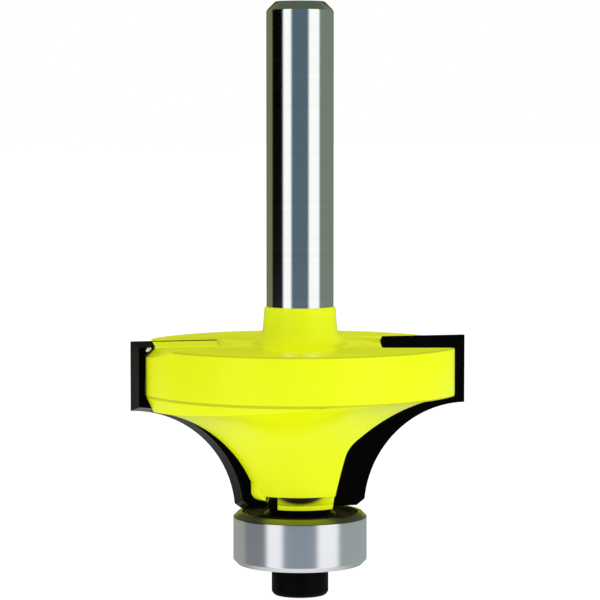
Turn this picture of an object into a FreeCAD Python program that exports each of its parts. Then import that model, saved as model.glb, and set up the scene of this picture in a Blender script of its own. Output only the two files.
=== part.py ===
"""Rounding-over router bit with two carbide tips and a guide bearing.

Z is the spinning axis, with z = 0 on the underside of the bearing screw and the shank pointing up.
The two wings lie along +X and -X. Seen from the shank, the bit cuts clockwise. Millimetres throughout.
"""
import FreeCAD, Part
import math
import os

V = FreeCAD.Vector
Z_AXIS = V(0, 0, 1)
ORIGIN = V(0, 0, 0)

# Guide bearing, the 3/16 x 1/2 inch size; the balls take their share of the space between
# bore and outside, and the lands beside the grooves stand at a share of the ball's radius
bearing_bore = 4.762
bearing_od = 12.7
bearing_width = 4.978
ball_share = 0.6
ball_count = 7
ball_play = 0.02
groove_fit = 1.04
land_share = 0.735
outer_ring_chamfer = 0.45
inner_ring_chamfer = 0.25
seal_seat_depth = 0.3
seal_thickness = 0.5
seal_recess = 0.1
seal_lip_gap = 0.06
cage_wall = 0.42
cage_seal_gap = 0.15
cage_pocket_play = 0.06
cage_lip = 0.45

# Bearing screw
screw_head_dia = 5.4
screw_head_height = 3.0
screw_head_chamfer = 0.3
screw_thread_dia = 3.0
screw_thread_length = 8.0
screw_point_chamfer = 0.4
hex_key = 2.5
hex_sides = 6
hex_depth = 1.5
thread_play = 0.02
tapped_hole_spare = 1.2
drill_point_deg = 118

# Spigot and shoulder under the body
spigot_play = 0.01
spigot_setback = 0.06
shoulder_dia = 5.9
shoulder_height = 0.64

# Cutting profile
round_over_r = 10.0
side_edge_height = 6.55
tip_thickness = 1.8
tip_relief_deg = 15.0
tip_top_relief_deg = 14.0
tip_bearing_gap = 0.35
tip_bevel_height = 0.6
tip_bottom_x = 5.6
tip_proud = 0.5

# Turned body behind the tips
rim_dia = 30.6
profile_setback = 1.57
land_drop_deg = 5.0
land_chamfer_deg = 65.0
heel_corner_cut = 0.9
lip_dia = 8.8
lip_height = 0.42
neck_groove_dia = 7.8
neck_groove_height = 0.85
neck_fillet_share = 0.6
heel_dia = 11.0
heel_drop = 0.5
heel_height = 2.6
heel_round = 0.95
heel_flat = 3.8
heel_root_x = 3.2
lip_cut_x = 2.1

# Collar and shank
collar_foot_fillet = 1.5
collar_foot_dia = 7.05
collar_top_dia = 6.75
collar_height = 3.5
collar_edge_chamfer = 0.12
shank_dia = 6.35
shank_bare_length = 28.75
shank_end_chamfer = 0.85

# Flutes in front of the tips
flute_turn_deg = 14.0
flute_near_wall = 5.2
flute_root_bottom = 3.05
flute_root_top = 7.65
flute_root_bow = 0.38
flute_corner_r = 0.5

# Heights and radii that follow
bearing_bottom_z = screw_head_height
bearing_top_z = bearing_bottom_z + bearing_width
bearing_mid_z = bearing_bottom_z + bearing_width / 2
bearing_r = bearing_od / 2
pitch_r = (bearing_bore + bearing_od) / 4
ball_r = ball_share * (bearing_od - bearing_bore) / 4
groove_r = ball_r * groove_fit
outer_land_r = pitch_r + land_share * ball_r
inner_land_r = pitch_r - land_share * ball_r
seal_seat_r = outer_land_r + seal_seat_depth
lip_bottom_z = bearing_top_z + shoulder_height
lip_top_z = lip_bottom_z + lip_height
neck_bottom_z = lip_top_z + neck_groove_height
heel_bottom_z = neck_bottom_z - heel_drop
cut_r = bearing_r + round_over_r
arc_z = bearing_top_z
arc_top_z = arc_z + round_over_r
tip_bottom_z = bearing_top_z + tip_bearing_gap
tip_top_z = arc_top_z + side_edge_height
face_z = tip_top_z - tip_proud
rim_r = rim_dia / 2
body_arc_r = round_over_r + profile_setback
rim_bottom_z = arc_z + math.sqrt(body_arc_r ** 2 - (cut_r - rim_r) ** 2)
collar_top_z = face_z + collar_height
shank_top_z = collar_top_z + shank_bare_length
reach = 2 * cut_r


def pt(x, z):
    """A point of a profile drawn in the XZ plane."""
    return V(x, 0, z)


def line(a, b):
    return Part.LineSegment(a, b).toShape()


def polygon(points):
    return Part.makePolygon(points + [points[0]])


def revolved(wire):
    """A full turn of a closed profile about the spinning axis."""
    return Part.Face(wire).revolve(ORIGIN, Z_AXIS, 360)


def ring(inner_r, outer_r, bottom_z, height):
    """A plain ring about the spinning axis."""
    outer = Part.makeCylinder(outer_r, height, V(0, 0, bottom_z))
    return outer.cut(Part.makeCylinder(inner_r, height, V(0, 0, bottom_z)))


def profile_arc(radius, start, end):
    """An arc concentric with the cutting edge, between two points that lie on it."""
    centre = pt(cut_r, arc_z)
    middle = start.add(end).multiply(0.5).sub(centre)
    middle.normalize()
    return Part.Arc(start, centre.add(middle.multiply(radius)), end).toShape()


def on_profile(radius, z):
    """The point of that concentric arc at height z, on the side of the neck."""
    return pt(cut_r - math.sqrt(radius ** 2 - (z - arc_z) ** 2), z)


def solid_of(shape):
    """The one solid that a boolean leaves, with its split faces joined."""
    return shape.removeSplitter().Solids[0]


def root_arc():
    """The bowed line of the flute's inner wall, seen along that wall."""
    low = pt(flute_root_bottom, lip_bottom_z)
    high = pt(flute_root_top, face_z)
    middle = low.add(high).multiply(0.5)
    middle.x -= flute_root_bow
    circle = Part.Arc(low, middle, high).toShape().Curve
    ends = []
    for z in (tip_bottom_z - shoulder_height, tip_top_z + collar_height):
        ends.append(pt(circle.Center.x - math.sqrt(circle.Radius ** 2 - (z - circle.Center.z) ** 2), z))
    return Part.Arc(ends[0], middle, ends[1]).toShape()


def outside_root():
    """All that lies outside the inner wall of the right flute and behind its near wall."""
    root = root_arc()
    low = root.Vertexes[0].Point
    high = root.Vertexes[1].Point
    far_high = pt(reach, high.z)
    far_low = pt(reach, low.z)
    side = Part.Face(Part.Wire([root, line(high, far_high), line(far_high, far_low), line(far_low, low)]))
    block = side.extrude(V(0, reach, 0))
    block.translate(V(0, -flute_near_wall, 0))
    corner = [e for e in block.Edges if max(abs(v.Y + flute_near_wall) for v in e.Vertexes) < 1e-6
              and max(v.X for v in e.Vertexes) < reach and e.BoundBox.ZLength > side_edge_height]
    block = block.makeFillet(flute_corner_r, corner)
    block.rotate(ORIGIN, Z_AXIS, -flute_turn_deg)
    return block


def turned_body():
    """Shank, collar, round body, neck, lip, shoulder and spigot as one turned profile."""
    shank_r = shank_dia / 2
    spigot_r = bearing_bore / 2 - spigot_play
    neck = on_profile(body_arc_r, neck_bottom_z)
    rim_low = pt(rim_r, rim_bottom_z)
    fillet_top = pt(collar_foot_dia / 2, face_z + collar_foot_fillet)
    fillet_end = pt(collar_foot_dia / 2 + collar_foot_fillet, face_z)
    lean = collar_foot_fillet * (1 - math.sqrt(0.5))
    fillet_mid = pt(collar_foot_dia / 2 + lean, face_z + lean)
    points_down = [
        fillet_end,
        pt(rim_r, face_z),
        rim_low,
    ]
    groove_foot = pt(neck_groove_dia / 2, lip_top_z + neck_fillet_share * neck_groove_height)
    lip_edge = pt(lip_dia / 2, lip_top_z)
    corner = pt(groove_foot.x, lip_edge.z)
    flare_mid = groove_foot.add(lip_edge).multiply(0.5).add(corner.multiply(neck_fillet_share))
    flare_mid.multiply(1 / (1 + neck_fillet_share))
    points_neck = [neck, pt(neck_groove_dia / 2, neck_bottom_z), groove_foot]
    points_foot = [
        lip_edge,
        pt(lip_dia / 2, lip_bottom_z),
        pt(shoulder_dia / 2, lip_bottom_z),
        pt(shoulder_dia / 2, bearing_top_z),
        pt(spigot_r, bearing_top_z),
        pt(spigot_r, bearing_bottom_z + spigot_setback),
        pt(0, bearing_bottom_z + spigot_setback),
        pt(0, shank_top_z),
        pt(shank_r - shank_end_chamfer, shank_top_z),
        pt(shank_r, shank_top_z - shank_end_chamfer),
        pt(shank_r, collar_top_z),
        pt(collar_top_dia / 2 - collar_edge_chamfer, collar_top_z),
        pt(collar_top_dia / 2, collar_top_z - collar_edge_chamfer),
        fillet_top,
    ]
    edges = [line(a, b) for a, b in zip(points_down, points_down[1:])]
    edges.append(profile_arc(body_arc_r, rim_low, neck))
    edges += [line(a, b) for a, b in zip(points_neck, points_neck[1:])]
    edges.append(Part.Arc(groove_foot, flare_mid, lip_edge).toShape())
    edges += [line(a, b) for a, b in zip(points_foot, points_foot[1:])]
    edges.append(Part.Arc(fillet_top, fillet_mid, fillet_end).toShape())
    return revolved(Part.Wire(edges))


def backing_land():
    """The lowered land behind the right tip: the body's own arc, tilted down towards the tip.

    It falls away from the tip as it goes round, and sinks into the turned body after a quarter turn.
    """
    low = on_profile(body_arc_r, neck_bottom_z)
    crown = pt(cut_r, arc_z + body_arc_r)
    lid_z = face_z - tip_proud
    points = [crown, pt(cut_r, lid_z), pt(0, lid_z), pt(0, neck_bottom_z), low]
    edges = [line(a, b) for a, b in zip(points, points[1:])]
    edges.append(profile_arc(body_arc_r, low, crown))
    land = revolved(Part.Wire(edges))
    land.rotate(V(0, 0, neck_bottom_z), V(0, 1, 0), land_drop_deg)
    cone_height = rim_r * math.tan(math.radians(land_chamfer_deg))
    envelope = Part.makeCone(0, rim_r, cone_height, V(0, 0, rim_bottom_z - cone_height))
    band = Part.makeCylinder(rim_r, face_z - rim_bottom_z - tip_proud, V(0, 0, rim_bottom_z))
    envelope = envelope.fuse(band)
    sector = Part.makeBox(reach, reach, reach, V(0, tip_thickness, neck_bottom_z))
    return land.common(envelope).common(sector)


def behind_tip(inner_x, low_z, high_z):
    """The space behind the right tip between two heights, from a distance off the axis outwards."""
    space = Part.makeBox(reach, 2 * reach, high_z - low_z, V(inner_x, -reach, low_z))
    space.rotate(ORIGIN, Z_AXIS, -flute_turn_deg)
    return space.common(Part.makeBox(reach, reach, reach, V(0, tip_thickness, 0)))


def heel():
    """The foot of the land behind the right tip, down past the groove's top, with its corner ground round.

    It is ground flat square to its inner end, so that it runs into the turned body there.
    """
    foot = Part.makeCylinder(heel_dia / 2, heel_height, V(0, 0, heel_bottom_z))
    rims = [edge for edge in foot.Edges if edge.BoundBox.ZMax < heel_bottom_z + heel_round / 2]
    foot = foot.makeFillet(heel_round, rims)
    front = Part.makeBox(2 * reach, 2 * reach, reach, V(-reach, heel_flat - 2 * reach, 0))
    front.rotate(ORIGIN, Z_AXIS, -flute_turn_deg)
    foot = foot.common(front)
    return foot.common(behind_tip(heel_root_x, heel_bottom_z, heel_bottom_z + heel_height))


def flute():
    """The chip space in front of the right tip, open below, with the tip's pocket as its back."""
    front = Part.makeBox(2 * reach, reach + tip_thickness, reach, V(-reach, -reach, lip_bottom_z))
    return outside_root().common(front)


def tip_outline(back):
    """The tip's outline at a distance back from its cutting face, drawn in by the relief."""
    inset = back * math.tan(math.radians(tip_relief_deg))
    radius = round_over_r + inset
    outer_x = cut_r - inset
    arc_high = pt(outer_x, arc_z + math.sqrt(radius ** 2 - inset ** 2))
    arc_low = on_profile(radius, tip_bottom_z + tip_bevel_height + inset)
    bottom_z = tip_bottom_z + inset
    top_z = tip_top_z - back * math.tan(math.radians(tip_top_relief_deg))
    points = [arc_high, pt(outer_x, top_z), pt(0, top_z), pt(0, bottom_z),
              pt(tip_bottom_x - inset, bottom_z), arc_low]
    edges = [line(a, b) for a, b in zip(points, points[1:])]
    edges.append(profile_arc(radius, arc_low, arc_high))
    wire = Part.Wire(edges)
    wire.translate(V(0, back, 0))
    return wire


def carbide_tip():
    """The right tip: a plate brazed in its pocket, ground with relief on its edge, arc, top and foot."""
    plate = Part.makeLoft([tip_outline(0), tip_outline(tip_thickness)], True, True)
    return solid_of(plate.common(outside_root()))


def corner_cut():
    """The flat ground across the rim's top corner, just behind the right tip."""
    seat_deg = math.degrees(math.asin(tip_thickness / rim_r))
    block = Part.makeBox(reach, 2 * reach, 2 * reach, V(0, -reach, -reach))
    block.rotate(ORIGIN, V(0, 1, 0), -45)
    block.translate(V(rim_r - heel_corner_cut, 0, face_z))
    block.rotate(ORIGIN, Z_AXIS, seat_deg)
    behind = Part.makeBox(reach, reach, reach, V(0, tip_thickness, 0))
    return block.common(behind)


def half_turned(shape):
    """The same piece of the opposite wing."""
    other = shape.copy()
    other.rotate(ORIGIN, Z_AXIS, 180)
    return other


def cutter_body():
    """The steel body with its lands, flutes, tip pockets, ground corners and tapped hole."""
    body = turned_body()
    lip_cut = behind_tip(lip_cut_x, lip_bottom_z, neck_bottom_z)
    body = body.cut(lip_cut).cut(half_turned(lip_cut))
    for piece in (backing_land(), heel()):
        body = body.fuse(piece).fuse(half_turned(piece))
    for piece in (flute(), corner_cut()):
        body = body.cut(piece).cut(half_turned(piece))
    hole_r = screw_thread_dia / 2 + thread_play
    hole_top = bearing_bottom_z + screw_thread_length + tapped_hole_spare
    point = hole_r / math.tan(math.radians(drill_point_deg / 2))
    hole = Part.makeCylinder(hole_r, hole_top, ORIGIN)
    hole = hole.fuse(Part.makeCone(hole_r, 0, point, V(0, 0, hole_top)))
    return solid_of(body.cut(hole))


def ball_groove(radius):
    """The ring that a ball groove takes out of a race, its bottom at this radius from the axis."""
    centre_r = radius + (groove_r if radius < pitch_r else -groove_r)
    return Part.makeTorus(centre_r, groove_r, V(0, 0, bearing_mid_z), Z_AXIS)


def outer_ring():
    """The ring that rolls on the work: ball groove inside, a seal seat at each face."""
    body = ring(outer_land_r, bearing_r, bearing_bottom_z, bearing_width)
    seat_depth = seal_thickness + seal_recess
    for bottom in (bearing_bottom_z, bearing_top_z - seat_depth):
        body = body.cut(Part.makeCylinder(seal_seat_r, seat_depth, V(0, 0, bottom)))
    rims = [e for e in body.Edges if abs(e.BoundBox.XMax - bearing_r) < 1e-6 and e.BoundBox.ZLength < 1e-6]
    body = body.makeChamfer(outer_ring_chamfer, rims)
    return solid_of(body.cut(ball_groove(pitch_r + ball_r + ball_play)))


def inner_ring():
    """The ring clamped on the spigot between the shoulder and the screw head."""
    body = ring(bearing_bore / 2, inner_land_r, bearing_bottom_z, bearing_width)
    rims = [e for e in body.Edges if abs(e.BoundBox.XMax - inner_land_r) < 1e-6 and e.BoundBox.ZLength < 1e-6]
    body = body.makeChamfer(inner_ring_chamfer, rims)
    return solid_of(body.cut(ball_groove(pitch_r - ball_r - ball_play)))


def balls():
    """The bearing balls, evenly spaced on the pitch circle."""
    shapes = []
    for index in range(ball_count):
        angle = 2 * math.pi * index / ball_count
        centre = V(pitch_r * math.cos(angle), pitch_r * math.sin(angle), bearing_mid_z)
        shapes.append(Part.makeSphere(ball_r, centre))
    return shapes


def cage():
    """The crown cage: a ring just above the lower seal, with pockets that reach past the balls' middle."""
    pocket_r = ball_r + cage_pocket_play
    bottom = bearing_bottom_z + seal_recess + seal_thickness + cage_seal_gap
    crown = ring(pitch_r - cage_wall, pitch_r + cage_wall, bottom, bearing_mid_z + cage_lip - bottom)
    for ball in balls():
        crown = crown.cut(Part.makeSphere(pocket_r, ball.CenterOfMass))
    return solid_of(crown)


def seal(bottom):
    """A rubber seal, held in the outer ring and just clear of the inner one."""
    return ring(inner_land_r + seal_lip_gap, seal_seat_r, bottom, seal_thickness)


def bearing_screw():
    """Socket head cap screw, head down, clamping the inner ring against the shoulder."""
    head_r = screw_head_dia / 2
    thread_r = screw_thread_dia / 2
    tip_z = screw_head_height + screw_thread_length
    profile = polygon([
        pt(0, 0),
        pt(head_r - screw_head_chamfer, 0),
        pt(head_r, screw_head_chamfer),
        pt(head_r, screw_head_height),
        pt(thread_r, screw_head_height),
        pt(thread_r, tip_z - screw_point_chamfer),
        pt(thread_r - screw_point_chamfer, tip_z),
        pt(0, tip_z),
    ])
    corner_r = hex_key / 2 / math.cos(math.pi / hex_sides)
    turns = [2 * math.pi * k / hex_sides for k in range(hex_sides)]
    corners = [V(corner_r * math.cos(a), corner_r * math.sin(a), 0) for a in turns]
    socket = Part.Face(polygon(corners)).extrude(V(0, 0, hex_depth))
    return solid_of(revolved(profile).cut(socket))


def build():
    """Every piece, by the name of its node."""
    tip = carbide_tip()
    nodes = {
        "cutter_body": cutter_body(),
        "carbide_tip_right": tip,
        "carbide_tip_left": half_turned(tip),
        "bearing_outer_ring": outer_ring(),
        "bearing_inner_ring": inner_ring(),
        "bearing_cage": cage(),
        "bearing_seal_lower": seal(bearing_bottom_z + seal_recess),
        "bearing_seal_upper": seal(bearing_top_z - seal_recess - seal_thickness),
        "bearing_screw": bearing_screw(),
    }
    for index, ball in enumerate(balls(), start=1):
        nodes["bearing_ball_%d" % index] = ball
    return nodes


os.makedirs("parts", exist_ok=True)
for name, shape in build().items():
    shape.exportStep("parts/%s.step" % name)
    print(name, len(shape.Solids), round(shape.Volume, 3), shape.isValid())
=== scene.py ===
"""Rounding-over router bit: a painted steel cutter with two brazed carbide tips and a guide bearing."""
import math

import bpy
import bmesh
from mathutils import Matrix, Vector


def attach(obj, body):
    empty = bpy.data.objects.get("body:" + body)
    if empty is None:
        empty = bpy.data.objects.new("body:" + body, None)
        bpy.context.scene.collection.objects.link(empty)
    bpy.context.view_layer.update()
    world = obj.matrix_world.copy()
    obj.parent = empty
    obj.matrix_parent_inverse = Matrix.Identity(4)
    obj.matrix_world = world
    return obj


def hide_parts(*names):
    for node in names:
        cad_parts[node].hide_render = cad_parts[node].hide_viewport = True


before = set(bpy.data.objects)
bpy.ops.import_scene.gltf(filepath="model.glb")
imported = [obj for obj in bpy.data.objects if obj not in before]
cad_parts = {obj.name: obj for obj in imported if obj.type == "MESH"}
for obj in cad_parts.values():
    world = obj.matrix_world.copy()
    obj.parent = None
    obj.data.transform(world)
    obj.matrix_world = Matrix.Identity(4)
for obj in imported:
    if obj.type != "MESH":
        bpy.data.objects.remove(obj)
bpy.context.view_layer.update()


# The bare shank
# A rod of tool steel, centreless ground to size, its free end faced and chamfered in a lathe.
# It is one piece with the painted body below and comes out of the collar.
mm = 0.001  # the sizes below are in millimetres
same_place = 0.0005
shank_r = 3.175
shank_foot = 27.0
shank_top = 56.278
end_r = 2.265


def put_down():
    """Leaves edit mode with nothing selected."""
    if bpy.context.object and bpy.context.object.mode == "EDIT":
        bpy.ops.object.mode_set(mode="OBJECT")
    bpy.ops.object.select_all(action="DESELECT")


def pick_up(piece):
    """Makes one piece the only one selected."""
    put_down()
    piece.select_set(True)
    bpy.context.view_layer.objects.active = piece


def edit(piece, kind):
    """Opens a piece in edit mode for its FACEs, EDGEs or VERTs, with nothing selected."""
    pick_up(piece)
    bpy.ops.object.mode_set(mode="EDIT")
    bpy.ops.mesh.select_mode(type=kind)
    bpy.ops.mesh.select_all(action="DESELECT")


def select(piece, kind, test):
    """Adds the faces, edges or vertices that pass a test to the selection."""
    mesh = bmesh.from_edit_mesh(piece.data)
    for part in {"FACE": mesh.faces, "EDGE": mesh.edges, "VERT": mesh.verts}[kind]:
        if test(part):
            part.select_set(True)
    bmesh.update_edit_mesh(piece.data)


def turned(name, outline, steps=96):
    """Lathe work: one vertex is drawn along the outline (radius, height) and spun round the axis."""
    put_down()
    radius, height = outline[0]
    bpy.ops.mesh.primitive_plane_add(size=mm, location=(radius * mm, 0, height * mm))
    piece = bpy.context.object
    piece.name = piece.data.name = name
    bpy.ops.object.transform_apply(location=True)
    bpy.ops.object.mode_set(mode="EDIT")
    bpy.ops.mesh.select_mode(type="VERT")
    bpy.ops.mesh.select_all(action="SELECT")
    bpy.ops.mesh.merge(type="CENTER")
    for (r0, z0), (r1, z1) in zip(outline, outline[1:]):
        step = ((r1 - r0) * mm, 0, (z1 - z0) * mm)
        bpy.ops.mesh.extrude_region_move(TRANSFORM_OT_translate={"value": step})
    bpy.ops.mesh.select_all(action="SELECT")
    bpy.ops.mesh.spin(steps=steps, angle=2 * math.pi, center=(0, 0, 0), axis=(0, 0, 1))
    bpy.ops.mesh.select_all(action="SELECT")
    bpy.ops.mesh.remove_doubles(threshold=same_place * mm)
    bpy.ops.mesh.normals_make_consistent(inside=False)
    put_down()
    return piece


def smooth(piece, degrees=32):
    """Shades a piece smooth, with its corners left crisp."""
    pick_up(piece)
    bpy.ops.object.shade_smooth_by_angle(angle=math.radians(degrees))
    put_down()


shank = turned("shank", [
    (0, shank_foot),
    (shank_r, shank_foot),
    (shank_r, 55.30),
    (shank_r, 55.368),
    (3.157, 55.458),
    (2.385, 56.230),
    (end_r, shank_top),
    (0, shank_top),
])
smooth(shank)


def finish(name):
    """A new material, with its node tree and its surface shader."""
    material = bpy.data.materials.new(name)
    material.use_nodes = True
    tree = material.node_tree
    return material, tree, tree.nodes["Principled BSDF"]


def add(tree, kind, **settings):
    """A node with its properties set."""
    node = tree.nodes.new(kind)
    for name, value in settings.items():
        setattr(node, name, value)
    return node


def pattern_group(name, sizes, outputs):
    """An empty node group that takes a place and some sizes, and gives numbers."""
    group = bpy.data.node_groups.new(name, "ShaderNodeTree")
    group.interface.new_socket("Vector", in_out="INPUT", socket_type="NodeSocketVector")
    for label in sizes:
        group.interface.new_socket(label, in_out="INPUT", socket_type="NodeSocketFloat")
    for label in outputs:
        group.interface.new_socket(label, in_out="OUTPUT", socket_type="NodeSocketFloat")
    return group, group.nodes.new("NodeGroupInput"), group.nodes.new("NodeGroupOutput")


def clouds(group, given, size, detail, roughness=0.5):
    """Noise in a pattern group, of the size that one of its inputs gives."""
    noise = add(group, "ShaderNodeTexNoise")
    noise.inputs["Detail"].default_value = detail
    noise.inputs["Roughness"].default_value = roughness
    group.links.new(given.outputs["Vector"], noise.inputs["Vector"])
    group.links.new(given.outputs[size], noise.inputs["Scale"])
    return noise.outputs["Fac"]


def grinding_group():
    """Marks left by a grinding wheel: fine ones over coarse ones, on a place stretched along them."""
    group, given, put = pattern_group("grinding_marks", ("Fine", "Coarse"), ("Height", "Shade"))
    fine = clouds(group, given, "Fine", detail=4.0, roughness=0.7)
    coarse = clouds(group, given, "Coarse", detail=2.0)
    both = add(group, "ShaderNodeMix", data_type="FLOAT")
    both.inputs["Factor"].default_value = 0.35
    group.links.new(fine, both.inputs["A"])
    group.links.new(coarse, both.inputs["B"])
    group.links.new(both.outputs["Result"], put.inputs["Height"])
    group.links.new(coarse, put.inputs["Shade"])
    return group


grinding_marks = grinding_group()


def dress(tree, shader, shade, wear, height, colour, dark, rough, spread, strength, depth):
    """Lets a pattern's numbers clothe a surface: shade its colour, wear its gloss, height its bump."""
    tone = add(tree, "ShaderNodeMix", data_type="RGBA")
    tone.inputs["A"].default_value = (*dark, 1)
    tone.inputs["B"].default_value = (*colour, 1)
    rub = add(tree, "ShaderNodeMapRange")
    rub.inputs["To Min"].default_value = rough - spread
    rub.inputs["To Max"].default_value = rough + spread
    bump = add(tree, "ShaderNodeBump")
    bump.inputs["Strength"].default_value = strength
    bump.inputs["Distance"].default_value = depth * mm
    link = tree.links.new
    link(shade, tone.inputs["Factor"])
    link(tone.outputs["Result"], shader.inputs["Base Color"])
    link(wear, rub.inputs["Value"])
    link(rub.outputs["Result"], shader.inputs["Roughness"])
    link(height, bump.inputs["Height"])
    link(bump.outputs["Normal"], shader.inputs["Normal"])


def ground_metal(name, colour, dark, rough, marks_per_metre, depth, spread=0.08):
    """Bare metal with grinding marks, so many to the metre along each axis."""
    material, tree, shader = finish(name)
    place = add(tree, "ShaderNodeTexCoord")
    stretch = add(tree, "ShaderNodeMapping")
    stretch.inputs["Scale"].default_value = marks_per_metre
    marks = add(tree, "ShaderNodeGroup", node_tree=grinding_marks)
    marks.inputs["Fine"].default_value = 1.0
    marks.inputs["Coarse"].default_value = 0.2
    tree.links.new(place.outputs["Object"], stretch.inputs["Vector"])
    tree.links.new(stretch.outputs["Vector"], marks.inputs["Vector"])
    shade, height = marks.outputs["Shade"], marks.outputs["Height"]
    dress(tree, shader, shade, height, height, colour, dark, rough, spread, strength=0.5, depth=depth)
    shader.inputs["Metallic"].default_value = 1.0
    return material


ground_shank = ground_metal("ground_shank", colour=(0.84, 0.85, 0.85), dark=(0.74, 0.75, 0.75),
                            rough=0.10, marks_per_metre=(60, 60, 9000), depth=0.003, spread=0.04)
faced_end = ground_metal("faced_end", colour=(0.42, 0.42, 0.40), dark=(0.26, 0.26, 0.25),
                         rough=0.55, marks_per_metre=(900, 900, 900), depth=0.01)
shank.data.materials.append(ground_shank)
shank.data.materials.append(faced_end)
for face in shank.data.polygons:
    if face.normal.z > 0.95:
        face.material_index = 1
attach(shank, "cutter")


# The painted body
# Turned from the bar, its flutes milled and its backing ground, then sprayed with lemon yellow enamel that
# is drawn darker on the rim's edges, with painted shade at the top of each undercut; shoulder, spigot and
# hole stay bare steel, drawn near black as painted shade.
collar_top = 27.528
rim_r = 15.3
rim_bottom = 19.5
rim_top = 24.028
rim_edge = 0.14
lip_bottom = 8.618
undercut_top = 9.888
undercut_deep = 0.78
undercut_half_wide = 2.25
undercut_turn = -14.0
no_shade_beyond = 1.15  # as shares of the lens's size
full_shade_within = 0.75
spigot_reach = 3.0
hole_reach = 1.6
hole_top = 15.0


def join_flats():
    """Makes one face of the selected ones that lie in one plane."""
    bpy.ops.mesh.dissolve_limited(angle_limit=math.radians(0.3))


def own_copy(node, name):
    """A piece of its own with a CAD node's shape, its loose triangles welded and its flats joined."""
    put_down()
    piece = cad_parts[node].copy()
    piece.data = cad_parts[node].data.copy()
    piece.name = piece.data.name = name
    piece.parent = None
    bpy.context.collection.objects.link(piece)
    piece.data.materials.clear()
    pick_up(piece)
    bpy.ops.mesh.customdata_custom_splitnormals_clear()
    bpy.ops.object.mode_set(mode="EDIT")
    bpy.ops.mesh.select_mode(type="EDGE")
    bpy.ops.mesh.select_all(action="SELECT")
    bpy.ops.mesh.mark_sharp(clear=True)
    bpy.ops.mesh.remove_doubles(threshold=same_place * mm)
    join_flats()
    put_down()
    return piece


body = own_copy("cutter_body", "painted_body")
edit(body, "VERT")
select(body, "VERT", lambda v: v.co.z > (collar_top + 0.001) * mm)
bpy.ops.mesh.delete(type="VERT")
edit(body, "EDGE")
bpy.ops.mesh.select_non_manifold()
bpy.ops.mesh.edge_face_add()
bpy.ops.mesh.select_all(action="SELECT")
join_flats()
bpy.ops.mesh.normals_make_consistent(inside=False)
put_down()


def speckle_group():
    """Cloudy unevenness in two sizes, as on sprayed paint, cast rubber or blacked steel."""
    group, given, put = pattern_group("speckle", ("Broad", "Small"), ("Clouds", "Grain"))
    group.links.new(clouds(group, given, "Broad", detail=3.0), put.inputs["Clouds"])
    group.links.new(clouds(group, given, "Small", detail=2.0), put.inputs["Grain"])
    return group


speckle = speckle_group()


def coated(name, colour, dark, rough, broad, small, depth, spread=0.06, **constants):
    """A finish that lies on the surface: clouded between two tones, its skin slightly uneven.

    broad and small are clouds and grains to the metre, and constants are sockets of the shader."""
    material, tree, shader = finish(name)
    place = add(tree, "ShaderNodeTexCoord")
    spots = add(tree, "ShaderNodeGroup", node_tree=speckle)
    spots.inputs["Broad"].default_value = broad
    spots.inputs["Small"].default_value = small
    tree.links.new(place.outputs["Object"], spots.inputs["Vector"])
    shade, height = spots.outputs["Clouds"], spots.outputs["Grain"]
    dress(tree, shader, shade, shade, height, colour, dark, rough, spread, strength=0.4, depth=depth)
    for label, value in constants.items():
        shader.inputs[label].default_value = value
    return material


yellow_enamel = coated("yellow_enamel", colour=(0.87, 0.965, 0.005), dark=(0.82, 0.93, 0.004),
                       rough=0.24, broad=140, small=900, depth=0.008, IOR=1.3)
# Enamel drawn darker olive, for the bevels on the rim's two edges.
darker_rim_enamel = coated("darker_rim_enamel_at_edges", colour=(0.60, 0.69, 0.003), dark=(0.52, 0.61, 0.002),
                     rough=0.34, broad=300, small=1500, depth=0.008, IOR=1.3)
# Turned steel drawn near black as painted shade, for the bare shoulder, spigot and hole, the cuts beside
# the lip and the inner ring, all deep under the body.
shaded_bare_steel = ground_metal("bare_turned_steel_painted_shade", colour=(0.030, 0.030, 0.026), dark=(0.012, 0.012, 0.010),
                          rough=0.40, marks_per_metre=(100, 100, 6000), depth=0.01)


def paint_undercut_shade(material, shade_colour):
    """Paints shade into the enamel: a dark lens at the top of each wing's undercut, under the overhang."""
    tree = material.node_tree
    link = tree.links.new
    shader = tree.nodes["Principled BSDF"]
    paint = shader.inputs["Base Color"].links[0].from_socket
    place = add(tree, "ShaderNodeTexCoord")
    faced = add(tree, "ShaderNodeMapping", vector_type="TEXTURE")
    faced.inputs["Location"].default_value = (0, 0, undercut_top * mm)
    faced.inputs["Rotation"].default_value = (0, 0, math.radians(undercut_turn))
    faced.inputs["Scale"].default_value = (undercut_half_wide * mm, 1, undercut_deep * mm)
    away = add(tree, "ShaderNodeVectorMath", operation="LENGTH")
    inside = add(tree, "ShaderNodeMapRange", interpolation_type="SMOOTHSTEP")
    inside.inputs["From Min"].default_value = no_shade_beyond
    inside.inputs["From Max"].default_value = full_shade_within
    split = add(tree, "ShaderNodeSeparateXYZ")
    below = add(tree, "ShaderNodeMath", operation="LESS_THAN")
    below.inputs[1].default_value = (undercut_top + 0.02) * mm
    both = add(tree, "ShaderNodeMath", operation="MULTIPLY")
    mix = add(tree, "ShaderNodeMix", data_type="RGBA")
    mix.inputs["B"].default_value = (*shade_colour, 1)
    link(place.outputs["Object"], faced.inputs["Vector"])
    link(faced.outputs["Vector"], away.inputs[0])
    link(away.outputs["Value"], inside.inputs["Value"])
    link(place.outputs["Object"], split.inputs["Vector"])
    link(split.outputs["Z"], below.inputs[0])
    link(inside.outputs["Result"], both.inputs[0])
    link(below.outputs["Value"], both.inputs[1])
    link(both.outputs["Value"], mix.inputs["Factor"])
    link(paint, mix.inputs["A"])
    link(mix.outputs["Result"], shader.inputs["Base Color"])


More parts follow.
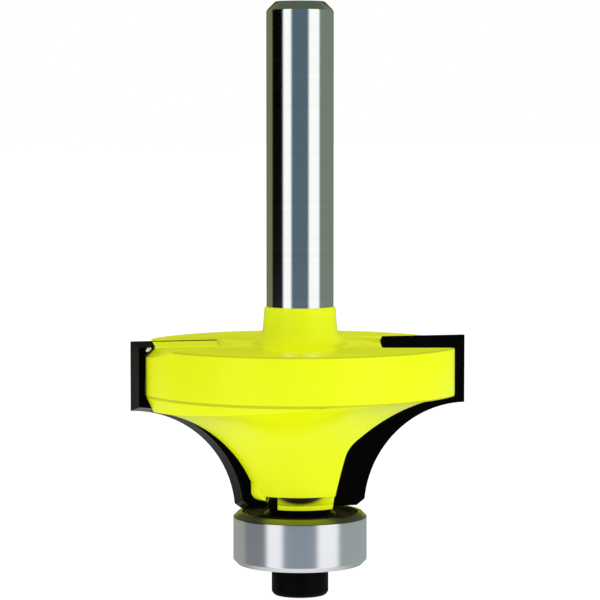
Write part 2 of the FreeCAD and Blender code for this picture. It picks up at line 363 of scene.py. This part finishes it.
# Painted shade: a dark brown lens on the enamel at the top of each undercut, under the overhang.
paint_undercut_shade(yellow_enamel, shade_colour=(0.020, 0.014, 0.004))
shaded_bare_slot, darker_rim_slot = 1, 2
for material in (yellow_enamel, shaded_bare_steel, darker_rim_enamel):
    body.data.materials.append(material)


def on_ring(edge, radius, height):
    """Whether an edge lies on a circle round the axis."""
    near = 0.02 * mm
    return all(abs(math.hypot(v.co.x, v.co.y) - radius * mm) < near and abs(v.co.z - height * mm) < near
               for v in edge.verts)


def soften(piece, width, angle, segments):
    """Rounds the edges of a piece that are sharper than an angle by a real bevel."""
    pick_up(piece)
    bevel = piece.modifiers.new("edges", "BEVEL")
    bevel.width = width * mm
    bevel.segments = segments
    bevel.limit_method = "ANGLE"
    bevel.angle_limit = math.radians(angle)
    bpy.ops.object.modifier_apply(modifier=bevel.name)


# The rim's two edges are bevelled, and the bevels take the darker enamel.
for height in (rim_bottom, rim_top):
    edit(body, "EDGE")
    select(body, "EDGE", lambda e: on_ring(e, rim_r, height))
    bpy.ops.mesh.bevel(offset=rim_edge * mm, segments=2, clamp_overlap=False, material=darker_rim_slot)
    put_down()
soften(body, width=0.05, angle=35, segments=2)
smooth(body)


def drawn_in_shaded_steel(face):
    """Whether a face is drawn in near-black steel as painted shade: the bare shoulder, spigot and hole, and
    the upright cuts beside the lip.
    """
    x, y, z = face.center / mm
    radius = math.hypot(x, y)
    if z < lip_bottom + 0.02 and radius < spigot_reach or radius < hole_reach and z < hole_top:
        return True
    across = abs(face.normal.x * x + face.normal.y * y) < 0.5 * radius
    upright = abs(face.normal.z) < 0.3
    return across and upright and lip_bottom + 0.03 < z < undercut_top - 0.03


for face in body.data.polygons:
    if drawn_in_shaded_steel(face):
        face.material_index = shaded_bare_slot
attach(body, "cutter")
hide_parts("cutter_body")


# The two carbide tips
# Plates of sintered tungsten carbide, brazed in milled pockets and ground, drawn nearly black as a painted
# dark reflection, with a painted highlight in lighter grey on the relief at the outer end; the spray has
# covered their tops except beside the cutting edge.
tip_thickness = 1.8
tip_reach = 16.35
round_centre_z = 7.978
round_outside = 10.6
relief_highlight_from = 14.4
near_tip_top = 23.9
painted_over = 0.28
painted_out_to = 14.3

# Painted dark reflection: the ground carbide drawn nearly black. Painted highlight: the outer end of its
# relief drawn light grey.
carbide = ground_metal("ground_carbide", colour=(0.0045, 0.004, 0.004), dark=(0.0015, 0.0015, 0.0015),
                       rough=0.25, marks_per_metre=(3000, 300, 3000), depth=0.003)
carbide_relief_painted_highlight = ground_metal("ground_carbide_relief_painted_highlight", colour=(0.34, 0.34, 0.33), dark=(0.24, 0.24, 0.24),
                              rough=0.30, marks_per_metre=(400, 9000, 400), depth=0.004)
ground, relief, sprayed = range(3)


def is_top(normal, middle):
    """Whether a tip's face looks up and lies at its top."""
    return normal.z > 0.3 and middle.z > near_tip_top * mm


def tip_finish(face, sign):
    """What a tip's face is finished in."""
    x, y, z = face.center / mm
    if is_top(face.normal, face.center) and sign * y > painted_over and abs(x) < painted_out_to:
        return sprayed
    # The outer end of the relief takes the light grey of the painted highlight.
    in_round = math.hypot(abs(x) - tip_reach, z - round_centre_z) < round_outside
    if in_round and abs(x) > relief_highlight_from and 0.01 < sign * y < tip_thickness - 0.01:
        return relief
    return ground


for side, sign in (("right", 1), ("left", -1)):
    tip = own_copy("carbide_tip_" + side, "ground_tip_" + side)
    soften(tip, width=0.03, angle=28, segments=1)
    for place, across in (((0, sign * painted_over * mm, 0), (0, 1, 0)),
                          ((sign * painted_out_to * mm, 0, 0), (1, 0, 0))):
        edit(tip, "FACE")
        select(tip, "FACE", lambda f: is_top(f.normal, f.calc_center_median()))
        bpy.ops.mesh.bisect(plane_co=place, plane_no=across)
    smooth(tip, 25)
    for material in (carbide, carbide_relief_painted_highlight, yellow_enamel):
        tip.data.materials.append(material)
    for face in tip.data.polygons:
        face.material_index = tip_finish(face, sign)
    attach(tip, "cutter")
    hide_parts("carbide_tip_" + side)


# The braze
# Silver braze that has run out of the joint behind each tip: a thin grey bead down the rim, a blob
# where the body's corner is ground off, drawn near white as a painted glint, and a bead on the top that
# the paint has covered.
joint_y = tip_thickness
blob_y = joint_y + 0.05
bead_end = 0.4


def bead(name, points, radius):
    """A thin bead: a curve through points with a round section, made a mesh."""
    put_down()
    bpy.ops.curve.primitive_bezier_curve_add()
    guide = bpy.context.object
    guide.name = name
    line = guide.data
    line.splines.clear()
    run = line.splines.new("POLY")
    run.points.add(len(points) - 1)
    for spot, (x, y, z) in zip(run.points, points):
        spot.co = (x * mm, y * mm, z * mm, 1)
    run.points[0].radius = run.points[-1].radius = bead_end
    line.bevel_depth = radius * mm
    line.bevel_resolution = 2
    line.use_fill_caps = True
    pick_up(guide)
    bpy.ops.object.convert(target="MESH")
    piece = bpy.context.object
    piece.data.name = name
    return piece


silver_braze = coated("silver_braze", colour=(0.30, 0.28, 0.24), dark=(0.10, 0.08, 0.05),
                      rough=0.38, broad=1500, small=5000, depth=0.01, Metallic=0.9)
# A painted glint: the blob's braze drawn near white.
braze_painted_glint = coated("braze_painted_glint", colour=(0.95, 0.94, 0.90), dark=(0.70, 0.68, 0.62),
                      rough=0.30, broad=1500, small=5000, depth=0.01, Metallic=0.6)
runs = [
    ([(14.45, joint_y, 24.00), (15.20, joint_y, 23.28), (15.29, joint_y, 19.6)], 0.05, silver_braze),
    ([(14.72, blob_y, 24.02), (15.0, blob_y, 23.88), (15.18, blob_y, 23.70)], 0.20, braze_painted_glint),
    ([(8.2, joint_y, 24.03), (14.45, joint_y, 24.03)], 0.07, yellow_enamel),
]
for side, sign in (("right", 1), ("left", -1)):
    for number, (points, radius, skin) in enumerate(runs, start=1):
        points = [(sign * x, sign * y, z) for x, y, z in points]
        braze = bead("braze_%s_%d" % (side, number), points, radius)
        braze.data.materials.append(skin)
        smooth(braze)
        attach(braze, "cutter")


# The guide bearing's outer ring
# Bearing steel, hardened and ground outside, with a chamfer at each face, a seat for each seal and a
# groove for the balls. Its upper chamfer is drawn dull olive grey, a painted reflection of the shaded body
# above.
bearing_bottom = 3.0
bearing_top = 7.978
bearing_middle = 5.489
ring_r = 6.35
ring_corner = 5.86
pitch_r = 4.3655
ball_r = 1.1907
land_r = 5.2407
seat_r = 5.5407
lower_seat = 3.6
upper_seat = 7.378
groove_r = ball_r * 1.04
groove_centre = pitch_r + ball_r + 0.02 - groove_r
groove_rise = math.sqrt(groove_r ** 2 - (land_r - groove_centre) ** 2)

ring_outline = [
    (seat_r, bearing_bottom), (ring_corner, bearing_bottom), (5.905, 3.012), (6.335, 3.442),
    (ring_r, 3.48), (ring_r, 3.54), (ring_r, 7.44), (ring_r, 7.498),
    (6.335, 7.536), (5.905, 7.966), (ring_corner, bearing_top), (seat_r, bearing_top),
    (seat_r, upper_seat), (land_r, upper_seat),
]
for step in range(9):
    angle = math.atan2(groove_rise, land_r - groove_centre) * (1 - step / 4)
    ring_outline.append((groove_centre + groove_r * math.cos(angle),
                         bearing_middle + groove_r * math.sin(angle)))
ring_outline += [(land_r, lower_seat), (seat_r, lower_seat), (seat_r, bearing_bottom)]
outer_ring = turned("outer_ring", ring_outline, steps=128)
smooth(outer_ring, 30)
ground_ring = ground_metal("ground_bearing_steel", colour=(0.88, 0.88, 0.90), dark=(0.78, 0.78, 0.80),
                           rough=0.17, marks_per_metre=(40, 40, 12000), depth=0.003, spread=0.05)
chamfer_painted_reflection = ground_metal("chamfer_painted_reflection", colour=(0.30, 0.30, 0.22), dark=(0.14, 0.14, 0.10),
                                rough=0.30, marks_per_metre=(300, 300, 5000), depth=0.004)
outer_ring.data.materials.append(ground_ring)
outer_ring.data.materials.append(chamfer_painted_reflection)
# Painted reflection: the upper chamfer's faces take the dull olive grey.
for face in outer_ring.data.polygons:
    if face.center.z > 7.5 * mm and face.normal.z > 0.3:
        face.material_index = 1
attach(outer_ring, "guide_ring")
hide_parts("bearing_outer_ring")


# The two rubber seals
# Black rubber washers moulded on a steel core and snapped into the outer ring, with a thick rim,
# a dished web and a lip that runs just clear of the inner ring.
lip_r = 3.5504
seal_rim_r = seat_r - 0.01
seal_outline = [
    (lip_r, 0.10), (lip_r + 0.06, 0.02), (lip_r + 0.34, 0.0), (lip_r + 0.46, 0.16),
    (seat_r - 0.56, 0.16), (seat_r - 0.44, 0.02), (seat_r - 0.08, 0.0), (seal_rim_r, 0.08),
    (seal_rim_r, 0.42), (seat_r - 0.08, 0.5), (lip_r + 0.06, 0.5), (lip_r, 0.42), (lip_r, 0.10),
]
black_rubber = coated("black_seal_rubber", colour=(0.009, 0.009, 0.010), dark=(0.005, 0.005, 0.005),
                      rough=0.62, broad=700, small=4000, depth=0.02, **{"Specular IOR Level": 0.12})
for side, face_z, inward in (("lower", 3.1, 1), ("upper", 7.878, -1)):
    seal = turned("rubber_seal_" + side, [(r, face_z + inward * depth) for r, depth in seal_outline])
    smooth(seal, 40)
    seal.data.materials.append(black_rubber)
    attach(seal, "guide_ring")
    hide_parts("bearing_seal_" + side)


# Inside the bearing: inner ring, cage and balls
# The inner ring, drawn near black as painted shade, is clamped on the spigot; a pressed steel crown cage
# keeps seven lapped balls apart. The frame's own solids are right and keep their shape.
pressed_steel = ground_metal("pressed_cage_steel", colour=(0.60, 0.57, 0.50), dark=(0.42, 0.40, 0.36),
                             rough=0.34, marks_per_metre=(900, 900, 900), depth=0.01)
lapped_steel = ground_metal("lapped_ball_steel", colour=(0.86, 0.86, 0.88), dark=(0.78, 0.78, 0.80),
                            rough=0.07, marks_per_metre=(500, 500, 500), depth=0.001, spread=0.02)
# The inner ring takes the near-black steel of painted shade.
finishes = {"bearing_inner_ring": shaded_bare_steel, "bearing_cage": pressed_steel}
for number in range(1, 8):
    finishes["bearing_ball_%d" % number] = lapped_steel
for node, material in finishes.items():
    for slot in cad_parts[node].material_slots:
        slot.material = material


# The bearing screw
# A blacked socket head cap screw, cold headed, its side knurled, with its head down.
# It goes up into the cutter's tapped hole and clamps the inner ring against the shoulder.
head_r = 2.7
knurl_root_r = 2.66
head_bottom_r = 2.3
head_top = 3.0
thread_r = 1.5
thread_top = 11.0
knurls = 48
socket_corner_r = 2.5 / 2 / math.cos(math.pi / 6)
socket_depth = 1.5

blacked = coated("black_oxide", colour=(0.0025, 0.0025, 0.003), dark=(0.001, 0.001, 0.001),
                 rough=0.40, broad=500, small=3500, depth=0.012, spread=0.1, **{"Specular IOR Level": 0.04})
screw = turned("cap_screw", [
    (0, 0), (head_bottom_r, 0), (2.42, 0.02), (2.52, 0.08), (knurl_root_r, 0.34), (knurl_root_r, 2.72),
    (2.6, 2.8), (2.6, head_top), (thread_r, head_top), (thread_r, 10.6), (1.1, thread_top), (0, thread_top),
], steps=2 * knurls)


def on_ridge(vertex):
    """Whether a vertex of the screw's head lies where a ridge of the knurl stands."""
    x, y, z = vertex.co / mm
    return 0.3 < z < 2.75 and math.hypot(x, y) > 2.6 and round(math.atan2(y, x) / math.pi * knurls) % 2 == 0


edit(screw, "VERT")
select(screw, "VERT", on_ridge)
swell = head_r / knurl_root_r
bpy.ops.transform.resize(value=(swell, swell, 1), center_override=(0, 0, 0))
put_down()
socket_tool = turned("socket_tool", [
    (0, -1), (socket_corner_r, -1), (socket_corner_r, socket_depth), (0, socket_depth),
], steps=6)
cut = screw.modifiers.new("socket", "BOOLEAN")
cut.operation = "DIFFERENCE"
cut.object = socket_tool
cut.solver = "EXACT"
pick_up(screw)
bpy.ops.object.modifier_apply(modifier=cut.name)
bpy.data.objects.remove(socket_tool)
smooth(screw, 24)
screw.data.materials.append(blacked)
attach(screw, "cutter")
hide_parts("bearing_screw")


# The studio
# A plain pale table in a white room with one soft lamp. The steel mirrors dark screens and white
# panels that stand round the bit, and a yellow card behind it warms the top of the paint.
put_down()
bpy.ops.mesh.primitive_plane_add(size=6000 * mm, location=(0, 0, 0))
table = bpy.context.object
table.name = "table_top"
table_white, _, shader = finish("table_white")
shader.inputs["Base Color"].default_value = (0.10, 0.10, 0.10, 1)
shader.inputs["Roughness"].default_value = 0.9
shader.inputs["Emission Color"].default_value = (1, 1, 1, 1)
shader.inputs["Emission Strength"].default_value = 0.98
table.data.materials.append(table_white)
table.visible_glossy = False

azimuth = math.radians(-14)
distance = 260
eye_height = 46.3
look_down = math.radians(4)
bpy.ops.object.camera_add(
    location=(math.sin(azimuth) * distance * mm, -math.cos(azimuth) * distance * mm, eye_height * mm),
    rotation=(math.radians(90) - look_down, 0, azimuth))
camera = bpy.context.object
camera.data.sensor_width = 36
camera.data.lens = 165
bpy.context.scene.camera = camera

world = bpy.data.worlds.new("studio")
bpy.context.scene.world = world
world.use_nodes = True
room = world.node_tree
link = room.links.new
direction = add(room, "ShaderNodeTexCoord")
turn = add(room, "ShaderNodeMapping")
turn.inputs["Rotation"].default_value = (0, 0, math.radians(90) - azimuth)
parts = add(room, "ShaderNodeSeparateXYZ")
around = add(room, "ShaderNodeMath", operation="ARCTAN2")
share = add(room, "ShaderNodeMapRange")
share.inputs["From Min"].default_value = -math.pi
share.inputs["From Max"].default_value = math.pi
link(direction.outputs["Generated"], turn.inputs["Vector"])
link(turn.outputs["Vector"], parts.inputs["Vector"])
link(parts.outputs["Y"], around.inputs[0])
link(parts.outputs["X"], around.inputs[1])
link(around.outputs["Value"], share.inputs["Value"])

# What stands round the bit, from straight behind it and round by the left: each screen reaches to
# this many degrees from the camera, counted towards the right.
black_screen = (0.0, 0.0, 0.0)
white_panel = (1.2, 1.2, 1.2)
dark_wall = (0.05, 0.05, 0.05)
olive_wall = (0.2, 0.2, 0.1)
blue_room = (0.1, 0.15, 0.2)
grey_wall = (0.2, 0.25, 0.2)
pale_table = (0.6, 0.65, 0.7)
table_share = 0.4
soft_edge = 4
screens_round = [
    (-160, dark_wall), (-110, olive_wall), (-60, black_screen), (-30, white_panel),
    (30, blue_room), (70, white_panel), (160, grey_wall), (180, dark_wall),
]
standing = [(-180, dark_wall)]
for (degrees, colour), (_, following) in zip(screens_round, screens_round[1:]):
    standing += [(degrees - soft_edge, colour), (degrees + soft_edge, following)]
standing += [(180, dark_wall)]
low = [
    (degrees, tuple(a + (b - a) * table_share for a, b in zip(colour, pale_table)))
    for degrees, colour in standing
]
behind = [
    (-180, (1, 1, 1)), (-162, (1, 1, 1)), (-155, (0, 0, 0)),
    (155, (0, 0, 0)), (162, (1, 1, 1)), (180, (1, 1, 1)),
]


def surround(name, stops):
    """A ring of colours round the bit."""
    panels = add(room, "ShaderNodeValToRGB", name=name)
    ramp = panels.color_ramp
    while len(ramp.elements) < len(stops):
        ramp.elements.new(0.5)
    for element, (degrees, colour) in zip(ramp.elements, stops):
        element.position = degrees / 360 + 0.5
        element.color = (*colour, 1)
    link(share.outputs["Result"], panels.inputs["Fac"])
    return panels.outputs["Color"]


def by_height(from_z, to_z):
    """0 to 1 as a direction rises or sinks from one height to another."""
    step = add(room, "ShaderNodeMapRange")
    step.inputs["From Min"].default_value = from_z
    step.inputs["From Max"].default_value = to_z
    link(parts.outputs["Z"], step.inputs["Value"])
    return step.outputs["Result"]


def blend_of(factor, first, second):
    """A mix of two colours; each is a socket or a plain colour."""
    node = add(room, "ShaderNodeMix", data_type="RGBA")
    link(factor, node.inputs["Factor"])
    for label, colour in (("A", first), ("B", second)):
        if isinstance(colour, tuple):
            node.inputs[label].default_value = (*colour, 1)
        else:
            link(colour, node.inputs[label])
    return node.outputs["Result"]


def times(first, second):
    """The product of two numbers."""
    node = add(room, "ShaderNodeMath", operation="MULTIPLY")
    link(first, node.inputs[0])
    link(second, node.inputs[1])
    return node.outputs["Value"]


card_yellow = (1.30, 1.36, 0.05)
floor_glow = (0.85, 0.85, 0.83)
ceiling = (0.10, 0.13, 0.09)
room_white = (0.86, 0.86, 0.86)
backdrop = (1.0, 1.0, 1.0)
rays = add(room, "ShaderNodeLightPath")
screens = blend_of(by_height(-0.125, -0.085),
                   surround("low_screens", low), surround("standing_screens", standing))
card = times(surround("card_behind", behind), times(by_height(0.045, 0.065), by_height(0.19, 0.13)))
screens = blend_of(card, screens, card_yellow)
screens = blend_of(by_height(-0.95, -0.6), floor_glow, screens)
mirrored = blend_of(by_height(0.45, 0.7), screens, ceiling)
lit = blend_of(rays.outputs["Is Glossy Ray"], room_white, mirrored)
seen = blend_of(rays.outputs["Is Camera Ray"], lit, backdrop)
link(seen, room.nodes["Background"].inputs["Color"])

lamp_place = Vector((320, -380, 300)) * mm
aim = Vector((0, 0, 20)) * mm - lamp_place
bpy.ops.object.light_add(type="AREA", location=lamp_place)
lamp = bpy.context.object
lamp.name = "key_lamp"
lamp.data.energy = 0.56
lamp.data.size = 300 * mm
lamp.rotation_euler = aim.to_track_quat("-Z", "Y").to_euler()
lamp.visible_glossy = False
bpy.context.scene.view_settings.view_transform = "Standard"
